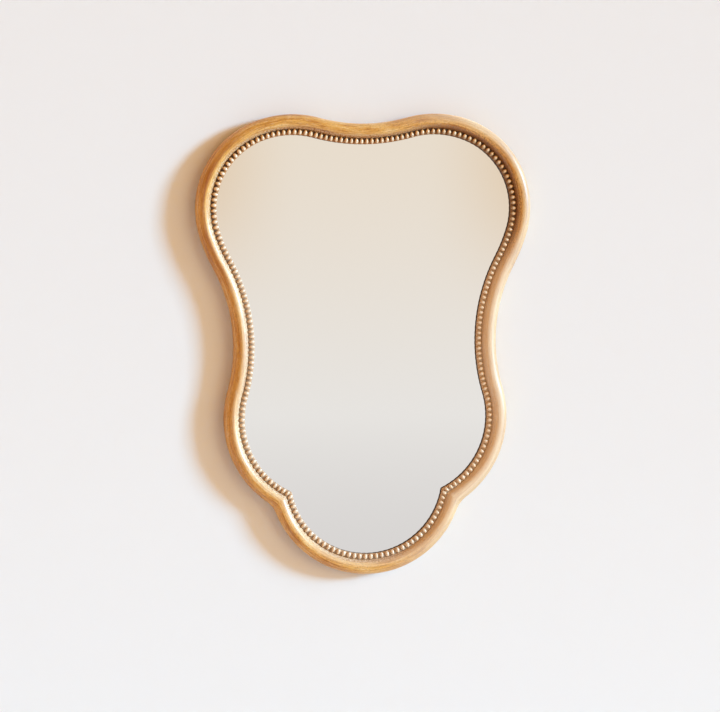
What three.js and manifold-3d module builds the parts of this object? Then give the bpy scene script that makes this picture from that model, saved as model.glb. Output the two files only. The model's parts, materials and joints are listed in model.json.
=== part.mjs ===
// A wall mirror with an irregular, lobed outline: two high lobes with a dip between them, broad shoulders,
// a drawn-in waist, round hips that run in to two cusps, and a round foot.
// The frame is a half-round roll sawn from seven pieces of wood and dowelled end to end. A beaded strip lies
// on the shelf inside the roll, mitred at the cusps. The glass drops in from behind and is held by a cushion
// sheet and a back board, and two ring hangers carry the mirror.
//
// Working frame: x to the right, y up the wall, z off the wall towards the viewer, in millimetres.
// The finished group is stood upright, so that +Z is up and the mirror faces -Y.

import * as THREE from 'three';
import { mergeVertices } from 'three/addons/utils/BufferGeometryUtils.js';
import Module from 'manifold-3d';

// Sight line, where the frame ends and the glass shows. Its right half is a chain of tangent arcs that starts
// level at the top centre. Each arc has a radius and the angle that it turns through, in degrees.
const sightTop = 391.7;
const dipRadius = 372;
const dipAngle = 15.2;
const lobeRadius = 163;
const lobeAngle = 39.1;
const shoulderRadius = 141;
const shoulderAngle = 83.8;
const flankRadius = 323;
const flankAngle = 10.3;
const waistRadius = 360;
const waistAngle = 44.3;
const hipRadius = 157;
const hipAngle = 81.5;
const footDrop = 125;            // the foot's lowest sight point, below the cusps
const notchFillet = 60;          // rounds the outer edge where hip and foot meet

// Frame section: across is measured outwards from the sight line, heights are off the wall.
const wallGap = 6;               // from the wall to the back of the wood
const beadBandWidth = 13;
const rollRadius = 14;
const sideHeight = 13;           // upright outer side, up to where the roll starts
const lipThickness = 4.5;        // wood in front of the glass
const lipSetback = 1.4;          // the lip stands back this far under the beads
const glassLap = 7.5;            // how far the wood covers the glass, from the sight line
const boardLap = 13;             // how far the back board reaches past the glass rebate
const backChamfer = 1.5;

// What the frame holds.
const glassThickness = 3;
const cushionThickness = 1.2;
const boardThickness = 3;
const boardRecess = 1.2;         // the board lies this far inside the frame's back
const glassPlay = 0.7;           // round the edge of the glass
const boardPlay = 0.7;           // round the edge of the back board

// Beaded strip.
const beadPitch = 10.3;
const beadHeight = 5;
const beadShoulder = 3.6;        // the bead's height beside its crown
const beadShoulderReach = 4.2;   // from the crown to that place
const beadEndLength = 2.7;       // over which each end of a bead rises
const stripThickness = 1.9;
const stripPlay = 0.7;           // between the strip and the roll
const scallopDepth = 1.8;        // how far the strip's edge is cut back between two beads

// Joints between the pieces of the frame.
const dowelRadius = 3;
const dowelLength = 24;
const dowelHeight = 9.5;         // above the back of the wood
const dowelSpacing = 12;
const innerDowelAcross = 22;

// Screws through the back board.
const boardScrewSpacing = 160;
const boardScrewLength = 9.5;
const boardScrewRadius = 1.4;
const boardScrewHeadRadius = 3;
const boardScrewHeadHeight = 1.6;

// Ring hangers.
const strapWidth = 12;
const strapLength = 40;          // below the ring's bar
const strapThickness = 0.8;
const strapCurlAngle = 243;      // how far the strap curls round the ring's bar
const ringWireRadius = 1.1;
const ringPlay = 0.5;            // round the ring's bar in its loop
const ringInnerWidth = 16;
const ringLegLength = 3;
const ringCornerRadius = 2.4;
const ringButtGap = 0.6;         // the wire's two ends, inside the strap's loop
const strapScrewInset = 6;       // the lower screw, from the end of the strap
const strapScrewSpacing = 12;
const strapScrewLength = 12;
const strapScrewRadius = 1.6;
const strapScrewHeadRadius = 3.4;
const strapScrewHeadHeight = 1.8;
const screwHeadBevel = 0.8;      // every screw's head is this much narrower at its top

// Wall bumpers.
const bumperRadius = 7;
const bumperDome = 0.8;

const seatGap = 0.3;             // between pieces that bear on each other
const facetRise = 0.6;           // largest rise of a facet's chord from its arc
const rollFacets = 6;
const pinFacets = 6;             // round screws and dowels
const bumperFacets = 16;
const curlFacets = 10;
const wireFacets = 6;
const wireSteps = 28;

// Derived sizes of the section.
const railWidth = beadBandWidth + 2 * rollRadius;
const rollAxisAcross = beadBandWidth + rollRadius;
const rollAxisHeight = wallGap + sideHeight;
const boardEdgeAcross = glassLap + boardLap;
const boardSeat = wallGap + boardRecess + boardThickness + seatGap;
const glassSeat = boardSeat + cushionThickness + glassThickness + 2 * seatGap;
const shelfHeight = glassSeat + lipThickness;
const stripBase = shelfHeight + seatGap;
const stripFloor = stripBase + stripThickness;

const wasm = await Module();
wasm.setup();

// ---------------------------------------------------------------- plan of the outline

// The unit vector to the left of a heading, which is outwards when the sight line is walked clockwise.
function outwardOf(heading) {
  return new THREE.Vector2(-Math.sin(heading), Math.cos(heading));
}

// An arc of the sight line. turn is +1 where the line bends outwards (left) and -1 where it bends inwards.
function makeArc(start, heading, radius, sweepDegrees, turn) {
  const sweep = THREE.MathUtils.degToRad(sweepDegrees);
  const centre = start.clone().addScaledVector(outwardOf(heading), turn * radius);
  const outwardAt = (length) => outwardOf(heading + turn * length / radius);
  const pointAt = (length) => centre.clone().addScaledVector(outwardAt(length), -turn * radius);
  return { centre, heading, radius, sweep, turn, length: radius * sweep, outwardAt, pointAt };
}

// A chain of tangent arcs, each given as [radius, sweep, turn].
function chainArcs(start, heading, steps) {
  const arcs = [];
  for (const [radius, sweep, turn] of steps) {
    const arc = makeArc(start, heading, radius, sweep, turn);
    arcs.push(arc);
    start = arc.pointAt(arc.length);
    heading += turn * arc.sweep;
  }
  return arcs;
}

const upperArcs = chainArcs(new THREE.Vector2(0, sightTop), 0, [
  [dipRadius, dipAngle, 1],
  [lobeRadius, lobeAngle, -1],
  [shoulderRadius, shoulderAngle, -1],
  [flankRadius, flankAngle, -1],
  [waistRadius, waistAngle, 1],
  [hipRadius, hipAngle, -1],
]);
const [dipArc, lobeArc, shoulderArc, flankArc, waistArc, hipArc] = upperArcs;
const cusp = hipArc.pointAt(hipArc.length);

// The foot is a circle through both cusps, and footDrop is the height of its segment.
const footRadius = (cusp.x ** 2 + footDrop ** 2) / (2 * footDrop);
const footCentre = new THREE.Vector2(0, cusp.y - footDrop + footRadius);
const footStart = Math.atan2(cusp.y - footCentre.y, cusp.x);
const footSweep = THREE.MathUtils.radToDeg(footStart + Math.PI / 2);
const footArc = makeArc(cusp, footStart - Math.PI / 2, footRadius, footSweep, -1);

// The outer notch is rounded by a circle that touches the outer edges of the hip and the foot.
const hipReach = hipRadius + railWidth + notchFillet;
const footReach = footRadius + railWidth + notchFillet;
const notchCentre = meetingPoint(hipArc.centre, hipReach, footCentre, footReach);

// Where two circles meet, on the side away from the centre line.
function meetingPoint(centreA, radiusA, centreB, radiusB) {
  const between = centreB.clone().sub(centreA);
  const gap = between.length();
  const along = (radiusA ** 2 - radiusB ** 2 + gap ** 2) / (2 * gap);
  const aside = Math.sqrt(radiusA ** 2 - along ** 2);
  const unit = between.divideScalar(gap);
  const foot = centreA.clone().addScaledVector(unit, along);
  const left = new THREE.Vector2(-unit.y, unit.x);
  const choices = [aside, -aside].map((side) => foot.clone().addScaledVector(left, side));
  return choices[0].x > choices[1].x ? choices[0] : choices[1];
}

// The length along an arc at which its outward direction points at a given point.
function lengthFacing(arc, point) {
  const aim = point.clone().sub(arc.centre);
  const turned = arc.heading - (Math.atan2(aim.y, aim.x) - Math.PI / 2);
  return arc.radius * THREE.MathUtils.euclideanModulo(turned, 2 * Math.PI);
}

const hipFanStart = lengthFacing(hipArc, notchCentre);
const footFanEnd = lengthFacing(footArc, notchCentre);
const notchFrom = hipArc.centre.clone().sub(notchCentre).angle();
const notchTo = footCentre.clone().sub(notchCentre).angle();
const notchMiddle = (notchFrom + notchTo) / 2;

function notchPoint(angle) {
  return notchCentre.clone().add(new THREE.Vector2(Math.cos(angle), Math.sin(angle)).multiplyScalar(notchFillet));
}

// A station is a cut across the frame: its point on the sight line and its point on the outer edge.
// Beside a cusp the stations fan out from square to the line into the mitre.
function stationOn(arc, length) {
  const sight = arc.pointAt(length);
  if (arc === hipArc && length > hipFanStart) {
    const share = (length - hipFanStart) / (arc.length - hipFanStart);
    return { sight, outer: notchPoint(THREE.MathUtils.lerp(notchFrom, notchMiddle, share)) };
  }
  if (arc === footArc && length < footFanEnd) {
    return { sight, outer: notchPoint(THREE.MathUtils.lerp(notchMiddle, notchTo, length / footFanEnd)) };
  }
  return { sight, outer: sight.clone().addScaledVector(arc.outwardAt(length), railWidth) };
}

// The plan point of a station at a distance across the frame.
function across(station, distance) {
  return station.sight.clone().lerp(station.outer, distance / railWidth);
}

function mirroredStation({ sight, outer }) {
  return { sight: new THREE.Vector2(-sight.x, sight.y), outer: new THREE.Vector2(-outer.x, outer.y) };
}

// Stations from one length to another along an arc, close enough for its curve.
function stationsOn(arc, from = 0, to = arc.length) {
  const edge = arc.radius + (arc.turn < 0 ? railWidth : 0);
  const facetAngle = 2 * Math.acos(1 - facetRise / edge);
  const count = Math.max(1, Math.ceil((to - from) / (facetAngle * arc.radius)));
  return Array.from({ length: count + 1 }, (_, i) => stationOn(arc, from + (to - from) * i / count));
}

// Rows of stations joined end to end: each row starts where the one before it ends.
function joinRows(...rows) {
  return rows.flatMap((row, i) => (i === 0 ? row : row.slice(1)));
}

const shoulderJoint = shoulderArc.length / 2;
const waistJoint = waistArc.length / 2;
const crownStations = joinRows(
  stationsOn(dipArc),
  stationsOn(lobeArc),
  stationsOn(shoulderArc, 0, shoulderJoint),
);
const flankStations = joinRows(
  stationsOn(shoulderArc, shoulderJoint),
  stationsOn(flankArc),
  stationsOn(waistArc, 0, waistJoint),
);
const hipStations = joinRows(
  stationsOn(waistArc, waistJoint),
  stationsOn(hipArc, 0, hipFanStart),
  stationsOn(hipArc, hipFanStart),
);
const footRightStations = joinRows(stationsOn(footArc, 0, footFanEnd), stationsOn(footArc, footFanEnd));
const footStations = joinRows(footRightStations, footRightStations.map(mirroredStation).reverse());
const rightStations = joinRows(crownStations, flankStations, hipStations, footRightStations);

// ---------------------------------------------------------------- solids

// A closed body through a row of matching rings, with a flat cap at each end. The outline is the flat shape
// that the caps are cut from.
function loft(rings, outline) {
  const ringSize = outline.length;
  const positions = rings.flat().flatMap((point) => point.toArray());
  const indices = [];
  for (let ring = 0; ring + 1 < rings.length; ring += 1) {
    for (let side = 0; side < ringSize; side += 1) {
      const near = ring * ringSize + side;
      const next = ring * ringSize + (side + 1) % ringSize;
      indices.push(near, next, near + ringSize);
      indices.push(next, next + ringSize, near + ringSize);
    }
  }
  const lastRing = (rings.length - 1) * ringSize;
  for (const [a, b, c] of THREE.ShapeUtils.triangulateShape(outline, [])) {
    indices.push(a, c, b);
    indices.push(lastRing + a, lastRing + b, lastRing + c);
  }
  const geometry = new THREE.BufferGeometry();
  geometry.setAttribute('position', new THREE.Float32BufferAttribute(positions, 3));
  geometry.setIndex(indices);
  return geometry;
}

// One ring of a swept section, whose points are (distance across, height off the wall).
function ringAt(station, section) {
  return section.map((point) => {
    const plan = across(station, point.x);
    return new THREE.Vector3(plan.x, plan.y, point.y);
  });
}

function sweep(stations, section) {
  return loft(stations.map((station) => ringAt(station, section)), section);
}

function mirrored(geometry) {
  const copy = geometry.clone().scale(-1, 1, 1);
  const index = copy.getIndex().array;
  for (let i = 0; i < index.length; i += 3) {
    [index[i], index[i + 1]] = [index[i + 1], index[i]];
  }
  return copy;
}

// A flat sheet with the frame's own outline, its edge at a distance across the frame.
function sheet(edgeAcross, back, thickness) {
  const right = rightStations.map((station) => across(station, edgeAcross));
  const left = rightStations.slice(1, -1).map((station) => across(mirroredStation(station), edgeAcross));
  const outline = new THREE.Shape([...right, ...left.reverse()]);
  const geometry = new THREE.ExtrudeGeometry(outline, { depth: thickness, bevelEnabled: false });
  return geometry.translate(0, 0, back);
}

// A round body about an axis off the wall, from (radius, height) points that start and end on the axis.
function turned(profile, facets) {
  const points = profile.map(([radius, height]) => new THREE.Vector2(radius, height));
  return new THREE.LatheGeometry(points, facets).rotateX(Math.PI / 2);
}

function rod(radius, length) {
  return new THREE.CylinderGeometry(radius, radius, length, pinFacets);
}

function asManifold(geometry) {
  const bare = geometry.clone();
  bare.deleteAttribute('normal');
  bare.deleteAttribute('uv');
  const merged = mergeVertices(bare, 1e-4);
  return new wasm.Manifold(new wasm.Mesh({
    numProp: 3,
    vertProperties: new Float32Array(merged.attributes.position.array),
    triVerts: new Uint32Array(merged.getIndex().array),
  }));
}

// The body with every tool cut out of it.
function drilled(geometry, tools) {
  const body = tools.reduce((rest, tool) => rest.subtract(asManifold(tool)), asManifold(geometry));
  const mesh = body.getMesh();
  const result = new THREE.BufferGeometry();
  result.setAttribute('position', new THREE.Float32BufferAttribute(mesh.vertProperties, 3));
  result.setIndex(Array.from(mesh.triVerts));
  return result;
}

// ---------------------------------------------------------------- frame section and its joints

// The wood's section, walked from the lip's back corner out along the two rebates and the back, up the outer
// side and back over the roll and the shelf.
function railSection() {
  const section = [
    new THREE.Vector2(lipSetback, glassSeat),
    new THREE.Vector2(glassLap, glassSeat),
    new THREE.Vector2(glassLap, boardSeat),
    new THREE.Vector2(boardEdgeAcross, boardSeat),
    new THREE.Vector2(boardEdgeAcross, wallGap),
    new THREE.Vector2(railWidth - backChamfer, wallGap),
    new THREE.Vector2(railWidth, wallGap + backChamfer),
  ];
  const rollEnd = Math.PI - Math.asin((shelfHeight - rollAxisHeight) / rollRadius);
  for (let i = 0; i <= rollFacets; i += 1) {
    const angle = rollEnd * i / rollFacets;
    section.push(new THREE.Vector2(
      rollAxisAcross + rollRadius * Math.cos(angle),
      rollAxisHeight + rollRadius * Math.sin(angle),
    ));
  }
  section.push(new THREE.Vector2(lipSetback, shelfHeight));
  return section;
}

// Two bodies of revolution, one behind the other along the frame, set square through the cut at a station.
function dowelPair(station, radius, length) {
  const cut = station.outer.clone().sub(station.sight).normalize();
  const along = new THREE.Vector3(-cut.y, cut.x, 0);
  const turn = new THREE.Quaternion().setFromUnitVectors(new THREE.Vector3(0, 1, 0), along);
  return [0, dowelSpacing].map((offset) => {
    const plan = across(station, innerDowelAcross + offset);
    return rod(radius, length).applyQuaternion(turn).translate(plan.x, plan.y, wallGap + dowelHeight);
  });
}

function dowelHoles(station) {
  return dowelPair(station, dowelRadius + seatGap, dowelLength + 2 * seatGap);
}

// ---------------------------------------------------------------- screws

// A pan-head wood screw. Its head bears on a surface at z = 0 and its point reaches in to +z.
function panScrew(radius, length, headRadius, headHeight) {
  return turned([
    [0, -headHeight],
    [headRadius - screwHeadBevel, -headHeight],
    [headRadius, 0],
    [radius, 0],
    [radius, length - 2 * radius],
    [0, length],
  ], pinFacets);
}

// The hole that a screw stands in: its shank with clearance, from below its head to past its point.
function screwHole(radius, length) {
  return rod(radius + seatGap, length + 2 * seatGap).rotateX(Math.PI / 2).translate(0, 0, length / 2);
}

// Places along one run of the sight line, evenly spaced and clear of both ends.
function evenStations(arcs, spacing) {
  const total = arcs.reduce((sum, arc) => sum + arc.length, 0);
  const count = Math.max(1, Math.round(total / spacing));
  return Array.from({ length: count }, (_, i) => stationAlong(arcs, total * (i + 0.5) / count));
}

// The station at a length along a row of arcs.
function stationAlong(arcs, length) {
  for (const arc of arcs) {
    if (length <= arc.length || arc === arcs.at(-1)) {
      return stationOn(arc, Math.min(length, arc.length));
    }
    length -= arc.length;
  }
  return undefined;
}

const boardScrewAcross = glassLap + boardLap / 2;
const boardScrewStations = [
  ...evenStations(upperArcs, boardScrewSpacing),
  ...evenStations([footArc], boardScrewSpacing),
];
const rightScrewPlaces = boardScrewStations.map((station) => across(station, boardScrewAcross));
const leftScrewPlaces = boardScrewStations.map((station) => across(mirroredStation(station), boardScrewAcross));
const boardBack = wallGap + boardRecess;

function boardScrewHole(place) {
  return screwHole(boardScrewRadius, boardScrewLength).translate(place.x, place.y, boardBack - seatGap);
}

// ---------------------------------------------------------------- hangers and bumpers

// The station of an arc whose outward direction points straight sideways: the widest place of that bulge.
function widestStation(arc) {
  const sideways = arc.centre.clone().add(new THREE.Vector2(1, 0));
  return stationOn(arc, lengthFacing(arc, sideways));
}

const backBandMiddle = (boardEdgeAcross + railWidth - backChamfer) / 2;
const hangerPlace = across(widestStation(shoulderArc), backBandMiddle);
const bumperPlace = across(widestStation(hipArc), backBandMiddle);
const ringBarHeight = strapLength / 2;                              // above the hanger's place
const strapFront = wallGap - seatGap;
const loopInner = ringWireRadius + ringPlay;
const loopOuter = loopInner + strapThickness;
const ringBarDepth = strapFront - loopOuter;
const strapBack = strapFront - strapThickness;
const strapScrewRows = [0, strapScrewSpacing].map((step) => strapScrewInset + step - strapLength / 2);

function strapScrewHoles() {
  return strapScrewRows.map((row) => (
    screwHole(strapScrewRadius, strapScrewLength).translate(hangerPlace.x, hangerPlace.y + row, strapBack - seatGap)
  ));
}

// The strap's side view, as (height up the wall, depth off the wall): a flat strip that curls back round the
// ring's bar and stops short of closing on itself.
function strapOutline() {
  const outline = new THREE.Shape();
  const loopStart = Math.PI / 2;
  const loopEnd = loopStart - THREE.MathUtils.degToRad(strapCurlAngle);
  outline.moveTo(-strapLength, strapFront);
  outline.lineTo(-strapLength, strapBack);
  outline.lineTo(0, strapBack);
  outline.absarc(0, ringBarDepth, loopInner, loopStart, loopEnd, true);
  outline.absarc(0, ringBarDepth, loopOuter, loopEnd, loopStart, false);
  outline.lineTo(-strapLength, strapFront);
  return outline;
}

function strapGeometry() {
  const flat = new THREE.ExtrudeGeometry(strapOutline(), {
    depth: strapWidth,
    bevelEnabled: false,
    curveSegments: curlFacets / 2,
  });
  // Local x runs up the wall, local y off the wall and local z across the strap.
  const upright = new THREE.Matrix4().makeBasis(
    new THREE.Vector3(0, 1, 0),
    new THREE.Vector3(0, 0, 1),
    new THREE.Vector3(1, 0, 0),
  );
  const strap = flat.applyMatrix4(upright).translate(-strapWidth / 2, ringBarHeight, 0);
  const holes = strapScrewRows.map((row) => (
    rod(strapScrewRadius + seatGap, 4 * strapThickness).rotateX(Math.PI / 2).translate(0, row, strapBack)
  ));
  return drilled(strap, holes);
}

// The ring's wire, bent to a D and hanging from its bar: out along the bar, round a corner, down a leg, round
// the bow and back up. Its two ends meet in the middle of the bar with a small gap.
class RingWire extends THREE.Curve {
  constructor() {
    super();
    const bowRadius = ringInnerWidth / 2 + ringWireRadius;
    const barHalf = bowRadius - ringCornerRadius - ringButtGap / 2;
    const quarter = Math.PI / 2;
    const start = new THREE.Vector2(ringButtGap / 2, 0);
    this.steps = [
      { length: barHalf, turn: 0 },
      { length: ringCornerRadius * quarter, turn: -1 / ringCornerRadius },
      { length: ringLegLength, turn: 0 },
      { length: 2 * bowRadius * quarter, turn: -1 / bowRadius },
      { length: ringLegLength, turn: 0 },
      { length: ringCornerRadius * quarter, turn: -1 / ringCornerRadius },
      { length: barHalf, turn: 0 },
    ];
    this.start = start;
    this.total = this.steps.reduce((sum, step) => sum + step.length, 0);
  }

  getPoint(t, target = new THREE.Vector3()) {
    let left = t * this.total;
    let heading = 0;
    const place = this.start.clone();
    for (const { length, turn } of this.steps) {
      const part = Math.min(left, length);
      if (turn === 0) {
        place.add(new THREE.Vector2(Math.cos(heading), Math.sin(heading)).multiplyScalar(part));
      } else {
        const next = heading + turn * part;
        place.x += (Math.sin(next) - Math.sin(heading)) / turn;
        place.y += (Math.cos(heading) - Math.cos(next)) / turn;
        heading = next;
      }
      left -= part;
      if (left <= 0) {
        break;
      }
    }
    return target.set(place.x, place.y, 0);
  }
}

function ringGeometry() {
  const section = new THREE.Shape();
  section.absarc(0, 0, ringWireRadius, 0, 2 * Math.PI, false);
  const wire = new RingWire();
  const bend = new THREE.ExtrudeGeometry(section, {
    steps: wireSteps,
    curveSegments: wireFacets / 2,
    extrudePath: wire,
  });
  return bend.translate(0, ringBarHeight, ringBarDepth);
}

// Stands on the wall at z = 0 and reaches up to the back of the wood, with its rim eased at the wall.
function bumperGeometry() {
  const top = wallGap - seatGap;
  return turned([
    [0, 0],
    [bumperRadius - bumperDome, 0],
    [bumperRadius, bumperDome],
    [bumperRadius, top],
    [0, top],
  ], bumperFacets);
}

// ---------------------------------------------------------------- beaded strip

// The strip's section over a bead (share 1) or between two beads (share 0). Both have the same points.
function stripSection(share) {
  const outerEdge = beadBandWidth - stripPlay;
  const innerEdge = scallopDepth * (1 - share);
  const middle = (innerEdge + outerEdge) / 2;
  return [
    new THREE.Vector2(innerEdge, stripBase),
    new THREE.Vector2(outerEdge, stripBase),
    new THREE.Vector2(middle + beadShoulderReach, stripFloor + share * beadShoulder),
    new THREE.Vector2(middle, stripFloor + share * beadHeight),
    new THREE.Vector2(middle - beadShoulderReach, stripFloor + share * beadShoulder),
  ];
}

// Beads along a row of arcs: each has a low cut at its ends and a raised stretch between them.
function beadRings(arcs) {
  const total = arcs.reduce((sum, arc) => sum + arc.length, 0);
  const count = Math.round(total / beadPitch);
  const rise = beadEndLength * count / total;
  const rings = [ringAt(stationAlong(arcs, 0), stripSection(0))];
  for (let bead = 0; bead < count; bead += 1) {
    for (const [part, share] of [[rise, 1], [1 - rise, 1], [1, 0]]) {
      rings.push(ringAt(stationAlong(arcs, total * (bead + part) / count), stripSection(share)));
    }
  }
  return rings;
}

// ---------------------------------------------------------------- finishes

function finish(color, roughness, metalness) {
  return { color, roughness, metalness };
}

const gildedWood = finish(0xd9a462, 0.38, 0.15);
const gildedBead = finish(0xc8894a, 0.36, 0.2);
const silveredGlass = finish(0xe4e1dc, 0.03, 1);
const greyFoam = finish(0xcfd0cc, 0.95, 0);
const brownBoard = finish(0x9c7a52, 0.85, 0);
const beech = finish(0xcaa477, 0.7, 0);
const zincSteel = finish(0xb9bcbd, 0.35, 0.9);
const darkRubber = finish(0x3a3836, 0.9, 0);

function piece(name, geometry, look) {
  if (!geometry.attributes.normal) {
    geometry.computeVertexNormals();
  }
  const mesh = new THREE.Mesh(geometry, new THREE.MeshStandardMaterial(look));
  mesh.name = name;
  return mesh;
}

// The same piece on both sides of the centre line.
function pair(name, geometry, look) {
  return [piece(`${name}_right`, geometry, look), piece(`${name}_left`, mirrored(geometry), look)];
}

// ---------------------------------------------------------------- assembly

const group = new THREE.Group();

const topStation = crownStations[0];
const shoulderStation = flankStations[0];
const waistStation = hipStations[0];
const cuspStation = hipStations.at(-1);
const section = railSection();
const rightScrewHoles = rightScrewPlaces.map(boardScrewHole);
const leftScrewHoles = leftScrewPlaces.map(boardScrewHole);

group.add(...pair('rail_crown', drilled(sweep(crownStations, section), [
  ...dowelHoles(topStation),
  ...dowelHoles(shoulderStation),
  ...rightScrewHoles,
]), gildedWood));
group.add(...pair('rail_flank', drilled(sweep(flankStations, section), [
  ...dowelHoles(shoulderStation),
  ...dowelHoles(waistStation),
  ...strapScrewHoles(),
  ...rightScrewHoles,
]), gildedWood));
group.add(...pair('rail_hip', drilled(sweep(hipStations, section), [
  ...dowelHoles(waistStation),
  ...dowelHoles(cuspStation),
  ...rightScrewHoles,
]), gildedWood));
group.add(piece('rail_foot', drilled(sweep(footStations, section), [
  ...dowelHoles(cuspStation),
  ...dowelHoles(mirroredStation(cuspStation)),
  ...rightScrewHoles,
  ...leftScrewHoles,
]), gildedWood));

// The dowels of one joint: an inner one near the glass and an outer one.
function addDowels(joint, station) {
  const [inner, outer] = dowelPair(station, dowelRadius, dowelLength);
  group.add(piece(`dowel_${joint}_inner`, inner, beech), piece(`dowel_${joint}_outer`, outer, beech));
}

addDowels('crown', topStation);
for (const [name, station] of [['shoulder', shoulderStation], ['waist', waistStation], ['cusp', cuspStation]]) {
  addDowels(`${name}_right`, station);
  addDowels(`${name}_left`, mirroredStation(station));
}

const upperBeads = loft(beadRings(upperArcs), stripSection(0));
const footBeadsRight = beadRings([footArc]);
const footBeadsLeft = footBeadsRight.map((ring) => (
  ring.map((point) => new THREE.Vector3(-point.x, point.y, point.z))
));
group.add(...pair('bead_strip', upperBeads, gildedBead));
group.add(piece('bead_strip_foot', loft(
  joinRows(footBeadsRight, footBeadsLeft.reverse()),
  stripSection(0),
), gildedBead));

const glassEdge = glassLap - glassPlay;
const boardEdge = boardEdgeAcross - boardPlay;
group.add(piece('mirror_glass', sheet(glassEdge, glassSeat - seatGap - glassThickness, glassThickness), silveredGlass));
group.add(piece('cushion_sheet', sheet(glassEdge, boardSeat, cushionThickness), greyFoam));
const board = sheet(boardEdge, boardBack, boardThickness);
group.add(piece('back_board', drilled(board, [...rightScrewHoles, ...leftScrewHoles]), brownBoard));

for (const [sideName, places] of [['right', rightScrewPlaces], ['left', leftScrewPlaces]]) {
  places.forEach((place, i) => {
    const screw = panScrew(boardScrewRadius, boardScrewLength, boardScrewHeadRadius, boardScrewHeadHeight);
    const mesh = piece(`board_screw_${sideName}_${i + 1}`, screw, zincSteel);
    mesh.position.set(place.x, place.y, boardBack - seatGap);
    group.add(mesh);
  });
}

for (const [sideName, side] of [['right', 1], ['left', -1]]) {
  const hanger = new THREE.Group();
  hanger.position.set(side * hangerPlace.x, hangerPlace.y, 0);
  hanger.add(piece(`hanger_strap_${sideName}`, strapGeometry(), zincSteel));
  hanger.add(piece(`hanger_ring_${sideName}`, ringGeometry(), zincSteel));
  strapScrewRows.forEach((row, i) => {
    const screw = panScrew(strapScrewRadius, strapScrewLength, strapScrewHeadRadius, strapScrewHeadHeight);
    const mesh = piece(`hanger_screw_${sideName}_${i + 1}`, screw, zincSteel);
    mesh.position.set(0, row, strapBack - seatGap);
    hanger.add(mesh);
  });
  group.add(hanger);

  const bumper = piece(`wall_bumper_${sideName}`, bumperGeometry(), darkRubber);
  bumper.position.set(side * bumperPlace.x, bumperPlace.y, 0);
  group.add(bumper);
}

// Stands the mirror upright: off the wall becomes -Y, up the wall becomes +Z.
group.rotation.x = Math.PI / 2;

export default group;
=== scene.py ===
import json
import math
import random

import bmesh
import bpy
from mathutils import Matrix, Vector


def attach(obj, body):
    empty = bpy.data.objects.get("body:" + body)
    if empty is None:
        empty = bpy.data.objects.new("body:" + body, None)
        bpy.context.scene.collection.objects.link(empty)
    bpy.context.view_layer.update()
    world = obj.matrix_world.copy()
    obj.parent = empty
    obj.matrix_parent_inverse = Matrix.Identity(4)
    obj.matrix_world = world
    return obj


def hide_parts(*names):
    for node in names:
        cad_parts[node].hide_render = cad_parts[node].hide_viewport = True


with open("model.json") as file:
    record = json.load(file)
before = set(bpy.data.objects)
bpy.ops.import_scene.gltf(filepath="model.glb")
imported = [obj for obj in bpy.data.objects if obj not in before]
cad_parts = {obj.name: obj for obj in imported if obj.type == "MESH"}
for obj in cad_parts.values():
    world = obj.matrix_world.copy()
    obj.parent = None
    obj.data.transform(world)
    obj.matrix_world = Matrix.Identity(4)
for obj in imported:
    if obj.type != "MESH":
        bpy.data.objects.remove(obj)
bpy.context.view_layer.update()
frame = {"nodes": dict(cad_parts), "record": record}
mm = 0.001
print("frame loaded,", len(frame["nodes"]), "nodes")


def placed(name, data):
    made = bpy.data.objects.new(name, data)
    bpy.context.scene.collection.objects.link(made)
    return made


def aimed(direction):
    # the turn that points a camera or a lamp along a direction
    return direction.to_track_quat("-Z", "Y").to_matrix().to_4x4()


view = {
    "yaw": -9.334,          # degrees; the camera stands a little to the mirror's left
    "pitch": 2.994,
    "roll": 0.536,
    "distance": 5.4114,     # metres
    "lens": 137.59,
    "aim": (-0.0084, 0.0, -0.0226),
    "clipEnd": 50,
}

yaw, pitch, roll = (math.radians(view[key]) for key in ("yaw", "pitch", "roll"))
levelShare = math.cos(pitch)
backward = Vector((math.sin(yaw) * levelShare, -math.cos(yaw) * levelShare, math.sin(pitch)))
cameraPlace = backward * view["distance"]
cameraData = bpy.data.cameras.new("camera")
cameraData.lens = view["lens"]
cameraData.clip_end = view["clipEnd"]
camera = placed("camera", cameraData)
lookAlong = aimed(Vector(view["aim"]) - cameraPlace)
camera.matrix_world = Matrix.Translation(cameraPlace) @ lookAlong @ Matrix.Rotation(-roll, 4, "Z")
bpy.context.scene.camera = camera
bpy.context.scene.view_settings.view_transform = "Standard"
print("camera placed")


def tone(code):
    # a web colour as the linear colour that sockets take
    parts = [int(code[i:i + 2], 16) / 255 for i in (1, 3, 5)]
    return tuple(p / 12.92 if p <= 0.04045 else ((p + 0.055) / 1.055) ** 2.4 for p in parts) + (1.0,)


class Wire:
    # one output socket; an expression on wires adds Math nodes
    def __init__(self, look, socket):
        self.look = look
        self.socket = socket

    def maths(self, operation, first, second):
        return self.look.node("ShaderNodeMath", {"operation": operation}, {0: first, 1: second})

    def __add__(self, other):
        return self.maths("ADD", self, other)

    def __radd__(self, other):
        return self.maths("ADD", other, self)

    def __sub__(self, other):
        return self.maths("SUBTRACT", self, other)

    def __rsub__(self, other):
        return self.maths("SUBTRACT", other, self)

    def __mul__(self, other):
        return self.maths("MULTIPLY", self, other)

    def __rmul__(self, other):
        return self.maths("MULTIPLY", other, self)

    def __truediv__(self, other):
        return self.maths("DIVIDE", self, other)

    def __rtruediv__(self, other):
        return self.maths("DIVIDE", other, self)

    def between(self, low, high):
        # 0 below low, 1 above high and a soft step from one to the other
        settings = {"interpolation_type": "SMOOTHSTEP"}
        return self.look.node("ShaderNodeMapRange", settings, {0: self, 1: low, 2: high})


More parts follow.
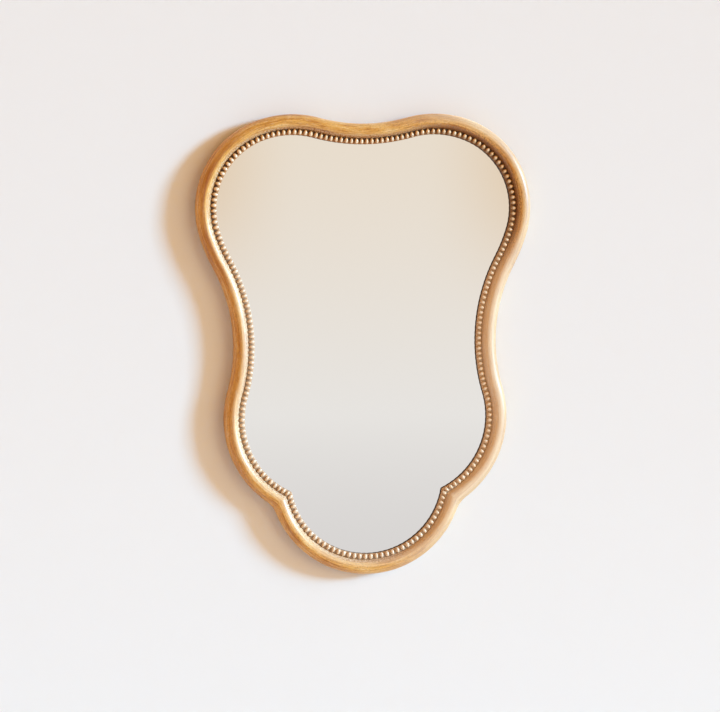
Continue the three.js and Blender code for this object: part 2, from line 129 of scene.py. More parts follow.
class Look:
    # a material, or the world, that is filled node by node
    def __init__(self, holder):
        holder.use_nodes = True
        self.holder = holder
        self.tree = holder.node_tree
        self.tree.nodes.clear()

    def node(self, kind, settings=None, inputs=None, output=0):
        made = self.tree.nodes.new(kind)
        for key, value in (settings or {}).items():
            if key == "stops":
                self.fillRamp(made.color_ramp, value)
            else:
                setattr(made, key, value)
        for key, value in (inputs or {}).items():
            if isinstance(value, Wire):
                self.tree.links.new(value.socket, made.inputs[key])
            else:
                made.inputs[key].default_value = value
        return Wire(self, made.outputs[output])

    def fillRamp(self, ramp, stops):
        while len(ramp.elements) < len(stops):
            ramp.elements.new(1.0)
        for element, (place, code) in zip(ramp.elements, stops):
            element.position = place
            element.color = tone(code)

    def ramp(self, value, *stops):
        return self.node("ShaderNodeValToRGB", {"stops": stops}, {0: value})

    def mix(self, factor, first, second):
        # sockets 6 and 7, and output 2, are the Mix node's colours
        colours = [tone(colour) if isinstance(colour, str) else colour for colour in (first, second)]
        return self.node("ShaderNodeMix", {"data_type": "RGBA"}, {0: factor, 6: colours[0], 7: colours[1]}, 2)

    def attribute(self, name):
        return self.node("ShaderNodeAttribute", {"attribute_name": name}, output="Fac")

    def vector(self, x, y, z):
        return self.node("ShaderNodeCombineXYZ", None, {0: x, 1: y, 2: z})

    def axes(self, vector, *picked):
        return [self.node("ShaderNodeSeparateXYZ", None, {0: vector}, axis) for axis in picked]

    def objectPlace(self):
        # object coordinates in millimetres, as three wires
        place = self.node("ShaderNodeTexCoord", output="Object")
        place = self.node("ShaderNodeVectorMath", {"operation": "SCALE"}, {0: place, "Scale": 1 / mm})
        return self.axes(place, "X", "Y", "Z")

    def noise(self, vector, detail=4.0, roughness=0.55, distortion=0.0):
        return self.node("ShaderNodeTexNoise", None, {
            "Vector": vector, "Scale": 1.0, "Detail": detail, "Roughness": roughness, "Distortion": distortion})

    def grain(self, sizes, **settings):
        # noise on object coordinates; sizes are the millimetres of one mark along x, y and z
        marks = [axis / size for axis, size in zip(self.objectPlace(), sizes)]
        return self.noise(self.vector(*marks), **settings)

    def bump(self, height, strength, distance):
        inputs = {"Height": height, "Strength": strength, "Distance": distance * mm}
        return self.node("ShaderNodeBump", None, inputs)

    def finish(self, **inputs):
        names = {name.replace("_", " "): value for name, value in inputs.items()}
        self.end(self.node("ShaderNodeBsdfPrincipled", None, names))
        return self.holder

    def end(self, surface, kind="ShaderNodeOutputMaterial"):
        made = self.tree.nodes.new(kind)
        self.tree.links.new(surface.socket, made.inputs["Surface"])


def newLook(name):
    return Look(bpy.data.materials.new(name))


railFinish = {
    "tones": {
        "umber": "#84440f",
        "deep": "#b06a1e",
        "gold": "#da9a40",
        "honey": "#e7af58",
        "pale": "#f3cf90",
        "coreShade": "#98460c",
        "rightShade": "#8a5c3a",
        "cream": "#fae3c6",
        "shadeAndSpeckBrown": "#4a2b14",
        "rubAndHighlight": "#ddc3a6",
        "chalk": "#f3e6d0",
        "bareWood": "#c79c68",
        "bareDark": "#a87b49",
    },
    "grain": {              # length and width of one mark in millimetres, and its place in the noise
        "streaks": (55, 2.2, 3.7),
        "clouds": (85, 26, 9),
        "pores": (14, 1.7, 4),
        "specks": (3.4, 2.5, 14),
    },
    "zones": {              # where each soft step starts and ends, in millimetres
        "lip": (2.5, 5.5),                                  # across the section, from the sight line
        "groove": (11.9, 13.0),
        "rightShade": (12.5, 24.0),
        "worn": (15.0, 21.0),
        "darkSpecks": (15.0, 27.0),
        "lowLight": (21.5, 29.0), "lowLightRight": (31.0, 36.0),
        "coreShade": (23.5, 26.5), "coreShadeEnd": (30.0, 35.0),
        "rim": (20.0, 32.0), "corner": (31.0, 36.0), "rimEnd": (38.0, 40.5),
        "foot": (7.0, 11.5),                                # up from the wall
        "left": (-310.0, -200.0), "right": (0.0, 220.0),    # along the frame's x
        "low": (120.0, 290.0),                              # along the frame's z
    },
    "marks": {              # the span of the noise in which each mark grows from none to full
        "pores": (0.53, 0.68), "paleGrain": (0.54, 0.7), "specks": (0.52, 0.62),
        "wornPale": (0.45, 0.6), "wornDark": (0.47, 0.6),
        "coreShade": (0.4, 0.6), "rightShade": (0.44, 0.54), "darkSpecks": (0.53, 0.6),
        "rawGrain": (0.35, 0.65), "rawWood": (0.45, 0.6),
    },
    "cover": {              # how much of the gilding each mark covers
        "pores": 0.6, "paleGrain": 0.5, "specks": 0.42,
        "wornPale": 0.6, "wornDark": 0.85,
        "rim": 0.5, "corner": 0.1,
        "lowLight": 0.28, "lowLightRight": 0.5,
        "darkSpecks": 0.75,
        "groove": 0.2, "foot": 0.55, "lip": 0.85,
    },
}


def railLook():
    look = newLook("gilded wood")
    names = ("along", "around", "across", "height", "bare")
    along, around, across, height, bare = (look.attribute(name) for name in names)
    x, _, z = look.objectPlace()
    tones, cover = railFinish["tones"], railFinish["cover"]

    def grain(name, **settings):
        length, width, start = railFinish["grain"][name]
        return look.noise(look.vector(along / length, around / width, start), **settings)

    def past(value, name):
        return value.between(*railFinish["zones"][name])

    def marked(noise, name):
        return noise.between(*railFinish["marks"][name])

    streaks = grain("streaks", detail=7, roughness=0.62, distortion=0.3)
    clouds = grain("clouds", detail=2)
    pores = grain("pores", roughness=0.7)
    specks = grain("specks", roughness=0.7)
    drift = clouds - 0.5
    gold = look.ramp(streaks * 0.65 + clouds * 0.35, (0.38, tones["deep"]), (0.47, tones["gold"]),
                     (0.54, tones["honey"]), (0.64, tones["pale"]))
    gold = look.mix(marked(pores, "pores") * cover["pores"], gold, tones["umber"])
    gold = look.mix(marked(1 - pores, "paleGrain") * cover["paleGrain"], gold, tones["chalk"])
    gold = look.mix(marked(specks, "specks") * cover["specks"], gold, tones["umber"])
    # worn and speckled beside the beads
    worn = 1 - past(across + drift * 8, "worn")
    gold = look.mix(worn * marked(specks, "wornPale") * cover["wornPale"], gold, tones["chalk"])
    gold = look.mix(worn * marked(1 - specks, "wornDark") * cover["wornDark"], gold, tones["umber"])
    # painted shade: a red-brown line outside the crest on the left side, where the light turns away; painted
    # highlight on the outer rim, paler on the right
    leftSide, rightSide, lowPart = 1 - past(x, "left"), past(x, "right"), 1 - past(z, "low")
    coreShadeLine = past(across, "coreShade") * (1 - past(across, "coreShadeEnd")) * leftSide
    gold = look.mix(coreShadeLine * (0.35 + 0.5 * marked(streaks, "coreShade")), gold, tones["coreShade"])
    # painted highlight: a paler outer slope, strongest on the right and a little all round
    rimHighlight = past(across, "rim") * rightSide * cover["rim"] + past(across, "corner") * cover["corner"]
    rimHighlight = rimHighlight * (1 - past(across, "rimEnd")) * (0.5 + streaks)
    gold = look.mix(rimHighlight, gold, tones["rubAndHighlight"])
    # painted light: the inner slopes are paler on the lower part; painted shade and dark specks beside the
    # beads at the upper right
    lowLightRight = rightSide * (1 - past(across, "lowLightRight")) * cover["lowLightRight"]
    lowLight = lowPart * ((1 - past(across, "lowLight")) * cover["lowLight"] + lowLightRight)
    gold = look.mix(lowLight * (0.6 + streaks * 0.8), gold, tones["cream"])
    # painted shade on the right's inner slope, broken by specks
    rightShading = (1 - 0.95 * lowPart) * rightSide * (1 - past(across, "rightShade"))
    gold = look.mix(rightShading * (0.15 + marked(specks, "rightShade")), gold, tones["rightShade"])
    speckled = rightSide * (1 - 0.75 * lowPart) * (1 - past(across, "darkSpecks"))
    darkSpecks = speckled * marked(specks, "darkSpecks")
    gold = look.mix(darkSpecks * cover["darkSpecks"], gold, tones["shadeAndSpeckBrown"])
    # painted shade in the groove by the beads and at the foot of the outer side by the wall
    groove = 1 - past(across, "groove")
    foot = 1 - past(height + drift * 3, "foot")
    gold = look.mix(groove * cover["groove"] + foot * cover["foot"], gold, tones["shadeAndSpeckBrown"])
    # raw wood on the back and in the rebates, and painted shade on the lip round the glass
    rawWood = look.mix(marked(streaks, "rawGrain"), tones["bareDark"], tones["bareWood"])
    rawShare = marked(bare + drift * 0.6, "rawWood")
    colour = look.mix(rawShare, gold, rawWood)
    colour = look.mix((1 - past(across, "lip")) * cover["lip"], colour, tones["shadeAndSpeckBrown"])
    return look.finish(
        Base_Color=colour,
        Roughness=0.4 + streaks * 0.14 + rawShare * 0.25 + groove * 0.15,
        Coat_Weight=0.3 * (1 - rawShare),
        Coat_Roughness=0.3,
        Normal=look.bump(streaks * 0.45 + pores * 0.4 + specks * worn * 0.3, 0.4, 0.25),
    )


beadFinish = {
    "tones": {
        "edge": "#3d2311",
        "gap": "#452a17",
        "tip": "#b98450",
        "side": "#935524",
        "body": "#e3a95c",
        "rubAndHighlight": "#fbf3e4",
        "cream": "#ecd2b4",
    },
    "zones": {              # where each soft step starts and ends
        "floor": (2.5, 7.5), "nearGlass": (1.0, 7.5), "rightShade": (4.0, 7.0),          # across, in millimetres
        "edge": (-0.25, -0.05), "side": (0.02, 0.3), "body": (0.25, 0.6),           # shares of a bead's rise
        "highlightAndRub": (0.3, 0.7), "crown": (0.65, 1.0), "cream": (0.1, 0.5), "shine": (0.3, 0.9),
        "right": (0.0, 220.0), "low": (110.0, 300.0), "foot": (-400.0, -320.0),     # x and z, in millimetres
    },
    "speckle": 1.6,
}


def beadLook():
    look = newLook("gilded bead")
    rise, bead, across, along = (look.attribute(name) for name in ("rise", "bead", "across", "along"))
    x, _, z = look.objectPlace()
    tones, size = beadFinish["tones"], beadFinish["speckle"]

    def past(value, name):
        return value.between(*beadFinish["zones"][name])

    rightSide, lowPart, footPart = past(x, "right"), 1 - past(z, "low"), 1 - past(z, "foot")
    speckle = look.noise(look.vector(along / size, across / size, bead * 5), detail=3)
    level = rise + (speckle - 0.5) * 0.3
    # painted shade: the floor between the beads is dark by the roll and paler by the glass, lighter on the
    # lower part as painted light, and the strip's edge is dark again
    floor = look.mix(past(across, "floor"), tones["tip"], tones["gap"])
    floor = look.mix(lowPart * (0.45 + 0.15 * rightSide), floor, tones["cream"])
    floor = look.mix(past(rise, "edge"), tones["edge"], floor)
    # painted shade and light: each bead is darker low on its sides and brighter up its body
    colour = look.mix(past(level, "side"), floor, tones["side"])
    colour = look.mix(past(level, "body"), colour, tones["body"])
    # painted highlight with some rub: pale at the end by the glass and on the crown
    nearGlass = 1 - past(across, "nearGlass")
    highlightAndRub = past(level, "highlightAndRub") * nearGlass * 0.5 + past(level, "crown") * (0.4 + 0.4 * bead)
    colour = look.mix(highlightAndRub * (1 - 0.4 * rightSide), colour, tones["rubAndHighlight"])
    # painted light: paler on the lower part and most at the foot; painted shade at the upper right
    creamShare = 0.1 + 0.55 * lowPart + 0.25 * footPart
    colour = look.mix(creamShare * past(rise, "cream"), colour, tones["cream"])
    rightShading = rightSide * (1 - lowPart) * (1 - past(across, "rightShade")) * 0.5
    colour = look.mix(rightShading, colour, tones["gap"])
    shine = past(rise, "shine")
    return look.finish(
        Base_Color=colour,
        Roughness=0.46 - 0.14 * shine,
        Coat_Weight=0.4 * shine,
        Coat_Roughness=0.22,
        Normal=look.bump(speckle, 0.3, 0.2),
    )


glassFinish = {
    "front": "#f5f4f4", "edge": "#7f9a8d", "paint": "#5f6467",
    "frontFace": (14.9, 14.95), "backFace": (12.05, 12.1),      # heights off the wall
    "drift": (120, 120, 120),
}


def glassLook():
    look = newLook("silvered glass")
    _, y, _ = look.objectPlace()
    height = 0 - y
    front = height.between(*glassFinish["frontFace"])
    back = 1 - height.between(*glassFinish["backFace"])
    colour = look.mix(back, glassFinish["edge"], glassFinish["paint"])
    return look.finish(
        Base_Color=look.mix(front, colour, glassFinish["front"]),
        Metallic=front,
        Roughness=0.02 + look.grain(glassFinish["drift"], detail=3) * 0.015 + (1 - front) * 0.4,
    )


boardFinish = {
    "stops": ((0.34, "#634529"), (0.5, "#84603c"), (0.66, "#a67d52")),
    "fibres": (1.6, 2, 0.9), "clouds": (60, 60, 45), "weave": (0.7, 1, 0.7),
}


def boardLook():
    look = newLook("fibreboard")
    fibres = look.grain(boardFinish["fibres"], detail=6, roughness=0.7, distortion=1.2)
    clouds = look.grain(boardFinish["clouds"], detail=3)
    weave = look.grain(boardFinish["weave"], detail=2)
    return look.finish(
        Base_Color=look.ramp(fibres * 0.7 + clouds * 0.3, *boardFinish["stops"]),
        Roughness=0.72 + fibres * 0.15,
        Normal=look.bump(fibres * 0.6 + weave * 0.4, 0.4, 0.3),
    )


foamFinish = {"dark": "#bcbdb9", "light": "#d8d8d4", "cells": (0.8, 0.8, 0.8)}


def foamLook():
    look = newLook("grey foam")
    cells = look.grain(foamFinish["cells"], detail=2)
    return look.finish(
        Base_Color=look.mix(cells, foamFinish["dark"], foamFinish["light"]),
        Roughness=0.85 + cells * 0.1,
        Normal=look.bump(cells, 0.5, 0.2),
    )


dowelFinish = {"stops": ((0.35, "#a97f4f"), (0.5, "#c9a273"), (0.68, "#dcbb8f")), "flecks": (3, 0.5, 0.5)}


def beechLook():
    look = newLook("beech dowel")
    flecks = look.grain(dowelFinish["flecks"], roughness=0.65)
    return look.finish(
        Base_Color=look.ramp(flecks, *dowelFinish["stops"]),
        Roughness=0.55 + flecks * 0.2,
        Normal=look.bump(flecks, 0.3, 0.15),
    )


zincFinish = {
    "stops": ((0.36, "#8e9293"), (0.5, "#b4b7b6"), (0.62, "#cfcfc9")),
    "rolled": (0.25, 0.6, 6), "stains": (5, 5, 5),
}


def zincLook():
    look = newLook("zinc steel")
    rolled = look.grain(zincFinish["rolled"], roughness=0.6)
    stains = look.grain(zincFinish["stains"], detail=3)
    return look.finish(
        Base_Color=look.ramp(rolled * 0.4 + stains * 0.6, *zincFinish["stops"]),
        Metallic=0.95,
        Roughness=0.26 + stains * 0.22,
        Normal=look.bump(rolled, 0.12, 0.06),
    )


rubberFinish = {"rubber": "#2b2927", "dusty": "#6b665e", "grain": (0.6, 0.6, 0.6), "dust": (4, 4, 4)}


def rubberLook():
    look = newLook("bumper rubber")
    grain = look.grain(rubberFinish["grain"], detail=3)
    dust = look.grain(rubberFinish["dust"], detail=2).between(0.5, 0.8)
    return look.finish(
        Base_Color=look.mix(dust * 0.4, rubberFinish["rubber"], rubberFinish["dusty"]),
        Roughness=0.7 + grain * 0.2,
        Normal=look.bump(grain, 0.35, 0.12),
    )


looks = {
    "gilded_wood": railLook(),
    "gilded_bead": beadLook(),
    "silvered_glass": glassLook(),
    "grey_foam": foamLook(),
    "fibreboard": boardLook(),
    "beech_dowel": beechLook(),
    "zinc_steel": zincLook(),
    "bumper_rubber": rubberLook(),
}
slotOf = {part["node"]: part["material_slot"] for part in frame["record"]["subparts"]}
for nodeName, node in frame["nodes"].items():
    node.data.materials.clear()
    node.data.materials.append(looks[slotOf[nodeName]])
print("materials made:", len(looks))


# the outline in millimetres: x to the right, y up the wall
plan = {
    "sightTop": 391.7,
    "arcs": {               # radius, degrees, and 1 where the sight line bends outwards
        "dip": (372, 15.2, 1),
        "lobe": (163, 39.1, -1),
        "shoulder": (141, 83.8, -1),
        "flank": (323, 10.3, -1),
        "waist": (360, 44.3, 1),
        "hip": (157, 81.5, -1),
    },
    "footDrop": 125,
    "notchFillet": 60,
    "railWidth": 41,
    "step": 2.6,            # between two cuts of a sweep
}


def outwardOf(heading):
    return Vector((-math.sin(heading), math.cos(heading)))


class Arc:
    def __init__(self, start, heading, radius, degrees, turn, before=0.0):
        self.heading, self.radius, self.turn, self.before = heading, radius, turn, before
        self.length = radius * math.radians(degrees)
        self.centre = start + turn * radius * outwardOf(heading)

    def outwardAt(self, length):
        return outwardOf(self.heading + self.turn * length / self.radius)

    def pointAt(self, length):
        return self.centre - self.turn * self.radius * self.outwardAt(length)

    def lengthFacing(self, point):
        # where along the arc its outward direction points at a place
        aim = point - self.centre
        turned = self.heading - (math.atan2(aim.y, aim.x) - math.pi / 2)
        return self.radius * (turned % (2 * math.pi))


def circlesMeet(centreA, radiusA, centreB, radiusB):
    # the right one of the two places where the circles cross
    apart = centreB - centreA
    gap = apart.length
    reach = (radiusA ** 2 - radiusB ** 2 + gap ** 2) / (2 * gap)
    aside = math.sqrt(radiusA ** 2 - reach ** 2)
    unit = apart / gap
    left = Vector((-unit.y, unit.x))
    middle = centreA + unit * reach
    return max((middle + left * aside, middle - left * aside), key=lambda place: place.x)


arcs = {}
start, heading, before = Vector((0, plan["sightTop"])), 0.0, 0.0
for arcName, (radius, degrees, turn) in plan["arcs"].items():
    arc = Arc(start, heading, radius, degrees, turn, before)
    arcs[arcName] = arc
    start = arc.pointAt(arc.length)
    heading += turn * math.radians(degrees)
    before += arc.length
cusp = start
footRadius = (cusp.x ** 2 + plan["footDrop"] ** 2) / (2 * plan["footDrop"])
footCentre = Vector((0, cusp.y - plan["footDrop"] + footRadius))
footHeading = math.atan2(cusp.y - footCentre.y, cusp.x) - math.pi / 2
arcs["foot"] = Arc(cusp, footHeading, footRadius, math.degrees(footHeading + math.pi), -1)

# a fillet rounds the outer edge's notch, and the cuts on both sides of the cusp fan out over it
notchReach = plan["railWidth"] + plan["notchFillet"]
hipCentre, hipRadius = arcs["hip"].centre, arcs["hip"].radius
notchCentre = circlesMeet(hipCentre, hipRadius + notchReach, footCentre, footRadius + notchReach)
hipFan = arcs["hip"].lengthFacing(notchCentre)
footFan = arcs["foot"].lengthFacing(notchCentre)
towardHip, towardFoot = hipCentre - notchCentre, footCentre - notchCentre
notchFrom = math.atan2(towardHip.y, towardHip.x)
notchTo = math.atan2(towardFoot.y, towardFoot.x)
notchMiddle = (notchFrom + notchTo) / 2


def notchPoint(angle):
    return notchCentre + plan["notchFillet"] * Vector((math.cos(angle), math.sin(angle)))


class Cut:
    # a cut across the frame, from its point on the sight line to its point on the outer edge
    def __init__(self, sight, outer, along):
        self.sight, self.outer, self.along = sight, outer, along

    def mirrored(self, turnAt=0.0):
        # the same cut on the other side; turnAt is the length along the row where the sides meet
        along = 2 * turnAt - self.along
        return Cut(Vector((-self.sight.x, self.sight.y)), Vector((-self.outer.x, self.outer.y)), along)

    def place(self, across, height):
        flat = self.sight.lerp(self.outer, across / plan["railWidth"])
        return Vector((flat.x, -height, flat.y)) * mm


def cutOn(name, length):
    arc = arcs[name]
    sight = arc.pointAt(length)
    outer = sight + arc.outwardAt(length) * plan["railWidth"]
    if name == "hip" and length > hipFan:
        share = (length - hipFan) / (arc.length - hipFan)
        outer = notchPoint(notchFrom + (notchMiddle - notchFrom) * share)
    if name == "foot" and length < footFan:
        outer = notchPoint(notchMiddle + (notchTo - notchMiddle) * length / footFan)
    return Cut(sight, outer, arc.before + length)


def cutsOn(name, fromLength=0.0, toLength=None):
    toLength = arcs[name].length if toLength is None else toLength
    count = max(2, math.ceil((toLength - fromLength) / plan["step"]))
    return [cutOn(name, fromLength + (toLength - fromLength) * i / count) for i in range(count + 1)]


def joined(*rows):
    return rows[0] + [cut for row in rows[1:] for cut in row[1:]]


halfShoulder, halfWaist = arcs["shoulder"].length / 2, arcs["waist"].length / 2
crownCuts = joined(cutsOn("dip"), cutsOn("lobe"), cutsOn("shoulder", 0, halfShoulder))
flankCuts = joined(cutsOn("shoulder", halfShoulder), cutsOn("flank"), cutsOn("waist", 0, halfWaist))
hipCuts = joined(cutsOn("waist", halfWaist), cutsOn("hip", 0, hipFan), cutsOn("hip", hipFan))
footHalf = joined(cutsOn("foot", 0, footFan), cutsOn("foot", footFan))
footCuts = joined(footHalf, [cut.mirrored(footHalf[-1].along) for cut in reversed(footHalf)])
print("outline planned:", len(arcs), "arcs")


def meshObject(name, bm, material):
    mesh = bpy.data.meshes.new(name)
    bm.to_mesh(mesh)
    bm.free()
    mesh.materials.append(material)
    return placed(name, mesh)


def keep(nodeName, ending, bm, body="frame", sharpAngle=32):
    # turns a bmesh into the finished piece for a CAD node, riding on its body
    bmesh.ops.recalc_face_normals(bm, faces=bm.faces)
    bm.normal_update()
    for edge in bm.edges:
        if len(edge.link_faces) == 2 and edge.calc_face_angle(0) > math.radians(sharpAngle):
            edge.smooth = False
    for face in bm.faces:
        face.smooth = True
    slot = slotOf[nodeName]
    piece = meshObject(f"{nodeName}_{ending}", bm, looks[slot])
    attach(piece, body)
    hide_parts(nodeName)


def newRow(bm, places):
    # a closed row of vertices with its edges
    row = [bm.verts.new(place) for place in places]
    for i in range(len(row)):
        bm.edges.new((row[i - 1], row[i]))
    return row


def rowEdges(bm, row):
    return [bm.edges.get((row[i - 1], row[i])) for i in range(len(row))]


def extruded(bm, row, places):
    # extrudes a closed row of vertices to new places, and gives the new row in the same order
    grown = bmesh.ops.extrude_edge_only(bm, edges=rowEdges(bm, row))["geom"]
    fresh = {item for item in grown if isinstance(item, bmesh.types.BMVert)}
    others = [[edge.other_vert(vert) for edge in vert.link_edges] for vert in row]
    grownRow = [next(vert for vert in near if vert in fresh) for near in others]
    for vert, place in zip(grownRow, places):
        vert.co = place
    return grownRow


def lofted(bm, rows):
    # a body through closed rows of places, with both ends closed; gives its rows of vertices
    made = [newRow(bm, rows[0])]
    bm.faces.new(made[0])
    for places in rows[1:]:
        made.append(extruded(bm, made[-1], places))
    bm.faces.new(made[-1])
    return made


def sweepAlong(bm, cuts, sections, mark):
    # a body through one section of (across, height) at each cut; mark writes each vertex's values
    rows = lofted(bm, [[cut.place(*point) for point in section] for cut, section in zip(cuts, sections)])
    for cut, section, row in zip(cuts, sections, rows):
        for i, (vert, point) in enumerate(zip(row, section)):
            mark(vert, cut, i, point)


def newLayers(bm, *names):
    return {name: bm.verts.layers.float.new(name) for name in names}


def write(vert, layers, *values):
    for layer, value in zip(layers.values(), values):
        vert[layer] = value


rail = {
    "back": 6.0, "boardSeat": 10.5, "glassSeat": 15.3, "shelf": 19.8,   # heights off the wall
    "lip": 1.4, "glassLap": 7.5, "boardEdge": 20.5,                     # across, from the sight line
    "rollAxis": (27.0, 19.0), "rollRadius": 13.92, "rollSteps": 28,
    "flankFrom": 27.0, "flankFoot": (12.2, 21.7),   # a straight slope leaves the roll at a height and ends here
    "flankEase": (0.2, 0.4), "lipEase": 0.5,
    "backChamfer": 1.5, "chamferMiddle": (0.4, 0.7), "chamferBare": (0.7, 0.3),
    "backFlatEnd": 4.5, "sideRow": 7.0,
}


def railSection():
    # (across, height, bare) from the lip's back corner out along the rebates and the back, then over the roll
    r = rail
    axisAcross, axisHeight = r["rollAxis"]
    outer = axisAcross + r["rollRadius"]
    middleIn, middleUp = r["chamferMiddle"]
    bareIn, bareOut = r["chamferBare"]
    points = [
        (r["lip"], r["glassSeat"], 1), (r["glassLap"], r["glassSeat"], 1), (r["glassLap"], r["boardSeat"], 1),
        (r["boardEdge"], r["boardSeat"], 1), (r["boardEdge"], r["back"], 1),
        (outer - r["backFlatEnd"], r["back"], 1), (outer - r["backChamfer"], r["back"], bareIn),
        (outer - middleIn, r["back"] + middleUp, bareOut), (outer, r["back"] + r["backChamfer"], 0),
        (outer, r["back"] + r["sideRow"], 0),
    ]
    end = math.pi - math.asin((r["flankFrom"] - axisHeight) / r["rollRadius"])
    for i in range(r["rollSteps"] + 1):
        angle = end * i / r["rollSteps"]
        reach, rise = r["rollRadius"] * math.cos(angle), r["rollRadius"] * math.sin(angle)
        points.append((axisAcross + reach, axisHeight + rise, 0))
    footAcross, footHeight = r["flankFoot"]
    easeIn, easeDown = r["flankEase"]
    return points + [
        (footAcross, footHeight, 0), (footAcross - easeIn, footHeight - easeDown, 0),
        (footAcross - easeIn, r["shelf"], 0),
        (r["lip"] + r["lipEase"], r["shelf"], 0), (r["lip"], r["shelf"] - r["lipEase"], 0),
    ]


def buildRail(nodeName, cuts):
    bm = bmesh.new()
    layers = newLayers(bm, "along", "around", "across", "height", "bare")
    points = railSection()
    walked = [0.0]
    for (x0, y0, _), (x1, y1, _) in zip(points, points[1:]):
        walked.append(walked[-1] + math.hypot(x1 - x0, y1 - y0))

    def mark(vert, cut, i, point):
        write(vert, layers, cut.along, walked[i], *point, points[i][2])

    sweepAlong(bm, cuts, [[point[:2] for point in points]] * len(cuts), mark)
    keep(nodeName, "wood", bm)


for boardName, cuts in (("crown", crownCuts), ("flank", flankCuts), ("hip", hipCuts)):
    buildRail(f"rail_{boardName}_right", cuts)
    buildRail(f"rail_{boardName}_left", [cut.mirrored() for cut in cuts])
buildRail("rail_foot", footCuts)
print("rails swept")


beads = {
    "pitch": 10.3,
    "outerEnd": 11.8, "beadEnds": (0.6, 12.0),      # across, from the sight line
    "base": 20.1, "floor": 22.0, "crown": 27.0,     # heights off the wall
    "centreHeight": 22.6,
    "fullness": 0.77,           # share of the pitch that a bead fills
    "taper": 0.1,               # how much narrower it is at its outer end
    "widths": (0.9, 1.05), "heights": (0.92, 1.0),  # each bead's own share lies between these
    "scallop": 0.9, "scallopDepth": 0.45, "scallopCurve": 0.7,
    "outerEase": (0.4, 0.3), "innerEase": (0.5, 0.4),
    "segments": 10, "rings": 7,
    "cutsPerBead": 6,
    "sharpAngle": 45,
    "plainShade": 0.5,
    "seeds": {"right": 3, "left": 5, "foot": 7},
}


def cutAlong(names, length):
    for name in names:
        if length <= arcs[name].length or name == names[-1]:
            return cutOn(name, min(length, arcs[name].length))
        length -= arcs[name].length


def stripSection(share):
    # the strip under the beads; share is 1 under a bead and 0 between two
    inner = beads["scallop"] - beads["scallopDepth"] * share
    outer, base, floor = beads["outerEnd"], beads["base"], beads["floor"]
    outerIn, outerDown = beads["outerEase"]
    innerIn, innerDown = beads["innerEase"]
    return [(inner, base), (outer, base), (outer, floor - outerDown), (outer - outerIn, floor),
            (inner + innerIn, floor), (inner, floor - innerDown)]


def riseAt(height):
    return (height - beads["floor"]) / (beads["crown"] - beads["floor"])


def beadRow(names, flipped, backwards):
    # the cuts with their scallop's share along some arcs, and the middle and pitch of each bead
    total = sum(arcs[name].length for name in names)
    count = round(total / beads["pitch"])
    steps = count * beads["cutsPerBead"]
    cuts = [(cutAlong(names, total * i / steps), i / beads["cutsPerBead"] % 1) for i in range(steps + 1)]
    middles = [cutAlong(names, total * (i + 0.5) / count) for i in range(count)]
    if backwards:
        cuts.reverse()
        middles.reverse()
    if flipped:
        cuts = [(cut.mirrored(), phase) for cut, phase in cuts]
        middles = [cut.mirrored() for cut in middles]
    shares = [math.sin(math.pi * phase) ** beads["scallopCurve"] for _, phase in cuts]
    return [cut for cut, _ in cuts], shares, middles


def buildBeads(side, *runs):
    # runs are (names of arcs, flipped, backwards) from one end of the strip to the other
    bm = bmesh.new()
    layers = newLayers(bm, "along", "across", "rise", "bead")
    chance = random.Random(beads["seeds"][side])
    cuts, shares, middles = [], [], []
    for run in runs:
        runCuts, runShares, runMiddles = beadRow(*run)
        skipped = 1 if cuts else 0      # the cut where two runs meet is made once
        cuts += runCuts[skipped:]
        shares += runShares[skipped:]
        middles += runMiddles

    def mark(vert, cut, i, point):
        write(vert, layers, cut.along, point[0], riseAt(point[1]), beads["plainShade"])

    sweepAlong(bm, cuts, [stripSection(share) for share in shares], mark)

    near, far = beads["beadEnds"]
    halfLength, middle = (far - near) / 2, (far + near) / 2
    for i, cut in enumerate(middles):
        centre = cut.place(middle, beads["centreHeight"])
        outward = (cut.place(middle + 1, 0) - cut.place(middle, 0)).normalized()
        upward = Vector((0, -1, 0))
        sideways = outward.cross(upward)
        neighbour = middles[i - 1] if i else middles[1]
        spacing = (neighbour.place(middle, 0) - cut.place(middle, 0)).length / mm
        halfWidth = spacing * beads["fullness"] / 2 * chance.uniform(*beads["widths"])
        halfHeight = (beads["crown"] - beads["centreHeight"]) * chance.uniform(*beads["heights"])
        basis = Matrix((sideways * halfWidth, upward * halfHeight, outward * halfLength)).transposed() * mm
        made = bmesh.ops.create_uvsphere(bm, u_segments=beads["segments"], v_segments=beads["rings"], radius=1)
        shade = chance.random()
        for vert in made["verts"]:
            local = vert.co.copy()
            local.x *= 1 - beads["taper"] * local.z
            vert.co = centre + basis @ local
            rise = max(0.0, riseAt(-vert.co.y / mm))
            write(vert, layers, cut.along + local.x * halfWidth, middle + local.z * halfLength, rise, shade)
    keep(f"bead_strip_{side}", "gilt", bm, sharpAngle=beads["sharpAngle"])
    return len(middles)


upper = list(plan["arcs"])
beadCount = buildBeads("right", (upper, False, False))
beadCount += buildBeads("left", (upper, True, False))
beadCount += buildBeads("foot", (["foot"], False, False), (["foot"], True, True))
print("beads set:", beadCount)


plates = {              # ending, across its edge, height of its back and its front off the wall, arris
    "mirror_glass": ("plate", 6.8, 12.0, 15.0, 0.4),
    "cushion_sheet": ("foam", 6.6, 10.5, 11.7, 0.2),
    "back_board": ("panel", 19.8, 7.2, 10.2, 0.35),
}
plateSharpAngle = 20
rightCuts = joined(crownCuts, flankCuts, hipCuts, footHalf)
aroundCuts = rightCuts + [cut.mirrored() for cut in reversed(rightCuts[1:-1])]


def buildPlate(nodeName, ending, edge, back, front, arris):
    # a flat plate with an eased edge, cut to the frame's outline
    bm = bmesh.new()
    profile = [(edge - arris, back), (edge, back + arris), (edge, front - arris), (edge - arris, front)]
    lofted(bm, [[cut.place(*point) for cut in aroundCuts] for point in profile])
    keep(nodeName, ending, bm, sharpAngle=plateSharpAngle)


